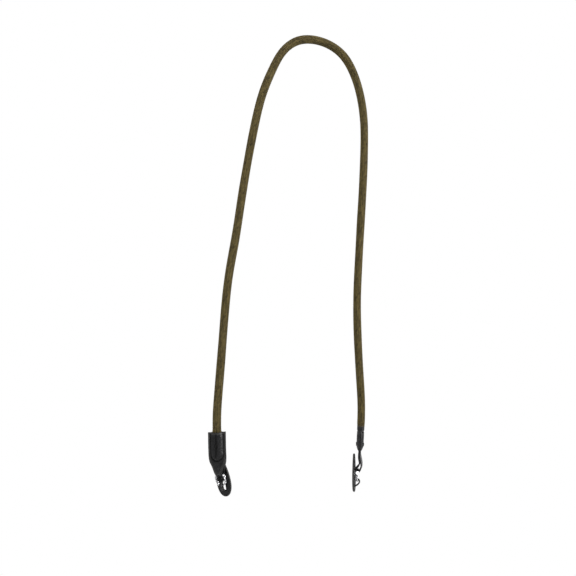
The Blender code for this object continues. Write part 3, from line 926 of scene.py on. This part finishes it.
def buildStitches(name, end):
    tubes = []
    middle = np.linspace(stitch["middleFrom"], pocketEnd(end) - stitch["middleStops"], 200)
    paths = (seamPath(end), (middle, np.full_like(middle, tab["valleyAt"])))
    for back in (False, True):
        for distance, across in paths:
            (d0, a0), (d1, a1) = alongPath(distance, across, stitch["pitch"], stitch["length"])
            first, _ = tabSurface(end, back, d0, a0)
            last, _ = tabSurface(end, back, d1, a1)
            _, normal = tabSurface(end, back, (d0 + d1) / 2, (a0 + a1) / 2)
            tubes.append(stitchPoints(first, last, normal))
    tubesPiece(name, materials["thread"], np.concatenate(tubes))


knot = {
    "at": 12.9 * mm,
    "size": 0.76 * mm,
    "stretch": 1.6,
    "thread": 0.4 * mm,
    "depth": 0.5,  # how far its turns pass over and under each other
    "lift": 0.5 * mm,  # out of the valley
    "rings": 60,
    "sides": 10,
}


def buildKnots(name, end):
    # a trefoil of thread on each face
    t = wholeTurn(knot["rings"])
    flat = np.stack([np.sin(t) + 2 * np.sin(2 * t), np.cos(t) - 2 * np.cos(2 * t), -np.sin(3 * t)], -1) / 2
    tubes = []
    for back in (False, True):
        across = np.array([tab["valleyAt"]])
        place, normal = tabSurface(end, back, np.array([knot["at"]]), across)
        ahead, _ = tabSurface(end, back, np.array([knot["at"] + 0.5 * mm]), across)
        along = unit(ahead - place)[0]
        side = np.cross(along, normal[0])
        scaled = flat * knot["size"]
        line = place[0] + scaled[:, :1] * side + knot["stretch"] * scaled[:, 1:2] * along
        line = line + (scaled[:, 2:] * knot["depth"] + knot["lift"]) * normal[0]
        ahead = unit(np.roll(line, -1, axis=0) - np.roll(line, 1, axis=0))
        first = unit(np.cross(ahead, normal[0]))
        second = np.cross(ahead, first)
        tubes.append(tubePoints(line, first, second, knot["thread"], knot["sides"]))
    tubesPiece(name, materials["thread"], np.stack(tubes), closed=True)


# Bound rope ends: round where they show, pressed flat inside the tab

sleeve = {
    "diameter": 7.7 * mm,  # where it shows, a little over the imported 7.2 as in the photograph
    "under": 0.05 * mm,  # how far the skin lies below that size
    "lip": 1.1 * mm,
    "lipHeight": 0.16 * mm,
    "lipRound": (0.45 * mm, 0.35 * mm),  # how far in its top edge is rounded, and over what length
    "stain": 2.2 * mm,  # length of the rope's tint
    "tucked": 3.2 * mm,
    "rib": 0.42 * mm,
    "ribHeight": 0.012 * mm,
    "pressedFrom": 2.2 * mm,  # above the mouth, where it starts to go flat
    "pressing": 3 * mm,
    "sides": 56,
    "rows": 110,
}


def buildSleeve(name, end):
    top = -end["collar"] if end["collar"] else sleeve["tucked"]
    inserted = tab["boundLength"] - end["collar"]
    shares = np.linspace(0, 1, sleeve["rows"])
    distance = top + (inserted - top) * (shares * 0.6 + 0.4 * (1 - np.cos(pi / 2 * shares)))
    centre, _, width, facing = tabLine(end, distance / tab["reach"])
    turn = wholeTurn(sleeve["sides"])
    pressed = easeStep((distance + sleeve["pressedFrom"]) / sleeve["pressing"])[:, None]
    closing = (distance - inserted + tab["pocketRound"]) / (tab["pocketRound"] + tab["pocketSpare"])
    closing = clamp(closing)
    half = ((tab["pocketWidth"] / 2 - 2 * gap) * np.sqrt(1 - closing**2))[:, None]
    flatAcross = half * np.cos(turn)
    out = pocketOut(end, distance[:, None], flatAcross * (1 + 2 * gap / half))
    lifted = (pocketHeight(distance)[:, None] - gap) * pocketBump(out)
    flatOut = np.sign(np.sin(turn)) * np.maximum(lifted, gap * np.abs(np.sin(turn)))
    fromTop = distance - top
    inward, over = sleeve["lipRound"]
    lip = sleeve["lipHeight"] * ridge(fromTop - 0.5 * sleeve["lip"], 0.45 * sleeve["lip"])
    lip = lip - inward * (1 - clamp(fromTop / over)) ** 2
    ribs = sleeve["ribHeight"] * np.sin(2 * pi * fromTop / sleeve["rib"]) * (fromTop > sleeve["lip"])
    radius = (sleeve["diameter"] / 2 - sleeve["under"] + lip + ribs)[:, None]
    sideways = ((1 - pressed) * radius * np.cos(turn) + pressed * flatAcross)[..., None]
    outward = ((1 - pressed) * radius * np.sin(turn) + pressed * flatOut)[..., None]
    points = centre[:, None] + sideways * width[:, None] + outward * facing[:, None]
    rows, columns = points.shape[:2]
    faces = [gridFaces(rows, columns), *endCaps(rows, columns)]
    rim = np.broadcast_to((1 - easeStep(fromTop / sleeve["stain"]))[:, None], (rows, columns))
    uv = np.concatenate(tubeUv(shares * ((inserted - top) / sleeve["rib"]), columns))
    uv[:, 0] = 0  # the turns of cord lie level
    return makePiece(name, materials["sleeve"], points, faces, uv, {"rim": rim})


def buildRing(name, end):
    # nearly two turns of wire, with a step from the back one to the front one at the ring's side
    place = endPlaces(end)
    count = round(ring["segments"] * (4 * pi - 2 * ring["endBack"]) / (2 * pi)) + 1
    turn = np.linspace(ring["endBack"], 4 * pi - ring["endBack"], count)
    height = ringPitch * (easeStep((turn - 2 * pi + ring["stepHalf"]) / (2 * ring["stepHalf"])) - 0.5)
    out = np.cos(turn)[:, None] * place["side"] + np.sin(turn)[:, None] * place["ringUp"]
    line = place["ring"] + out * ringRadius + height[:, None] * place["axis"]
    radius = np.full(count, ring["wire"] / 2)
    radius[[0, -1]] *= ring["endShare"]
    tube = tubePoints(line, out, place["axis"], radius, ring["sides"])
    return tubesPiece(name, materials["steel"], tube[None])


# Protector: leather oval with a window, and the bridge that passes over the ring's wire

protector = {
    "length": 39 * mm,
    "width": 16.8 * mm,
    "thickness": 2 * mm,
    "raise": 2.2 * mm,
    "taper": 0.4,
    "tilt": radians(1),
    "bridgeWidth": 2.8 * mm,
    "bridgeLength": 9.6 * mm,
    "bridgeDrop": 0.5 * mm,
    "bridgeThickness": 1.5 * mm,
    "bridgePowers": (2.2, 1.5),  # how full its arch is, and how softly it leaves the leather
    "bridgeSection": (0.3, 0.45),  # how square it is across and through; less is squarer
    # pale edges of the bridge: painted highlight, with edge wear, over this width
    "bridgeHighlightBand": 0.4 * mm,
    "bridgeRows": 90,
    "bridgeSides": 28,
    "slit": 0.4 * mm,
    "windowCorners": 12,  # more is squarer
    "round": 0.8 * mm,  # how far the edges are rounded
    # paler rim: painted highlight, with edge wear, over this width
    "highlightAndWear": 0.8 * mm,
    "lineIn": 1.7 * mm,  # pressed line, in from the edge
    "lineDepth": 0.16 * mm,
    "lineWidth": 0.28 * mm,
    "columns": 160,
    "rows": 40,
}


def buildProtector(name, end):
    place = endPlaces(end)
    facing, tilt, roll = facingOf(end["ringYaw"]), protector["tilt"], radians(end["protectorRoll"])
    axis = facing * cos(tilt) + upward * sin(tilt)
    rise = upward * cos(tilt) - facing * sin(tilt)
    length = rise * cos(roll) - np.cross(rise, axis) * sin(roll)
    lean = radians(end["ringLean"]) + tilt
    behind = (ringHalf + gap) / cos(lean) + ring["outer"] / 2 * sin(lean)
    front = place["ring"] - axis * behind + length * protector["raise"]
    width = np.cross(length, axis)
    middle = -protector["raise"] - ringRadius * cos(lean) - protector["bridgeDrop"]
    windowHalf = np.array([protector["bridgeWidth"] / 2 + protector["slit"], protector["bridgeLength"] / 2])
    turn = wholeTurn(protector["columns"])
    outline = np.stack([
        protector["width"] / 2 * np.cos(turn) * (1 - protector["taper"] * np.sin(turn)),
        protector["length"] / 2 * np.sin(turn),
    ], -1)
    # the window's edge lies on the line from its middle to each point of the outline
    aim = outline - np.array([0, middle])
    corners = protector["windowCorners"]
    span = (np.abs(aim / windowHalf) ** corners).sum(-1, keepdims=True) ** (1 / corners)
    window = np.array([0, middle]) + aim / span
    f = (1 - np.cos(pi * np.linspace(0, 1, protector["rows"]))) / 2
    flat = window + (outline - window) * f[:, None, None]
    reach = np.linalg.norm(outline - window, axis=-1)
    fromRim, fromWindow = (1 - f)[:, None] * reach, f[:, None] * reach
    nearest = np.minimum(fromRim, fromWindow)
    rounded = np.sqrt(1 - clamp(1 - nearest / protector["round"]) ** 2)
    line = protector["lineDepth"] * ridge(fromRim - protector["lineIn"], protector["lineWidth"])
    half = protector["thickness"] / 2
    topZ, backZ = -half + half * rounded - line, -half - half * rounded
    plate = foldOver(*(np.concatenate([flat, z[..., None]], -1) for z in (topZ, backZ)))
    # paler rim: painted highlight, with edge wear
    rim = 1 - easeStep(nearest / protector["highlightAndWear"])
    plateRim = foldOver(rim, rim)
    # painted shade along the pressed line
    plateCrease = foldOver(clamp(line / protector["lineDepth"]), np.zeros_like(line))
    rows, columns = plate.shape[:2]
    plateFaces = gridFaces(rows, columns, closed=True)

    # bridge: a flat rounded section, over the wire in one hump
    run = np.linspace(-1, 1, protector["bridgeRows"])
    full, soft = protector["bridgePowers"]
    squareAcross, squareThrough = protector["bridgeSection"]
    rise = 2 * ringHalf + 4 * gap + ring["wire"] * sin(lean)
    seat = protector["bridgeThickness"]
    under = (rise + seat) * (1 - np.abs(run) ** full) ** soft - seat - (protector["thickness"] - seat) / 2
    along = middle + run * (protector["bridgeLength"] / 2 + protector["thickness"] / 2)
    corner = wholeTurn(protector["bridgeSides"])
    cosine, sine = np.cos(corner), np.sin(corner)
    across = protector["bridgeWidth"] / 2 * np.sign(cosine) * np.abs(cosine) ** squareAcross
    lift = seat / 2 * np.sign(sine) * np.abs(sine) ** squareThrough
    slope = np.gradient(under, along)
    tipped = 1 / np.sqrt(1 + slope**2)
    strip = np.stack([
        np.broadcast_to(across, (len(run), len(corner))),
        along[:, None] - lift * (slope * tipped)[:, None],
        (under + seat / 2)[:, None] + lift * tipped[:, None],
    ], -1)
    stripFaces = [gridFaces(len(run), len(corner)), *endCaps(len(run), len(corner))]
    faces = [plateFaces, *(rows * columns + some for some in stripFaces)]
    inward = protector["bridgeWidth"] / 2 - np.abs(strip[..., 0])
    stripRim = 1 - easeStep(inward / protector["bridgeHighlightBand"])
    local = np.concatenate([plate.reshape(-1, 3), strip.reshape(-1, 3)])
    points = front + local[:, :1] * width + local[:, 1:2] * length + local[:, 2:] * axis
    values = {
        "rim": np.concatenate([plateRim.ravel(), stripRim.ravel()]),
        "crease": np.concatenate([plateCrease.ravel(), np.zeros(strip[..., 0].size)]),
    }
    return makePiece(name, materials["protector"], points, faces, values=values)


for side, end in ends.items():
    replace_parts(buildTab(f"tabLeather.{side}", end), f"end_tab_{side}")
    buildStitches(f"seamThread.{side}", end)
    buildKnots(f"seamKnot.{side}", end)
    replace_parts(buildSleeve(f"greySleeve.{side}", end), f"rope_end_{side}")
    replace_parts(buildRing(f"splitRing.{side}", end), f"split_ring_{side}")
    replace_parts(buildProtector(f"protectorLeather.{side}", end), f"protector_{side}")
    print(side, "end dressed")
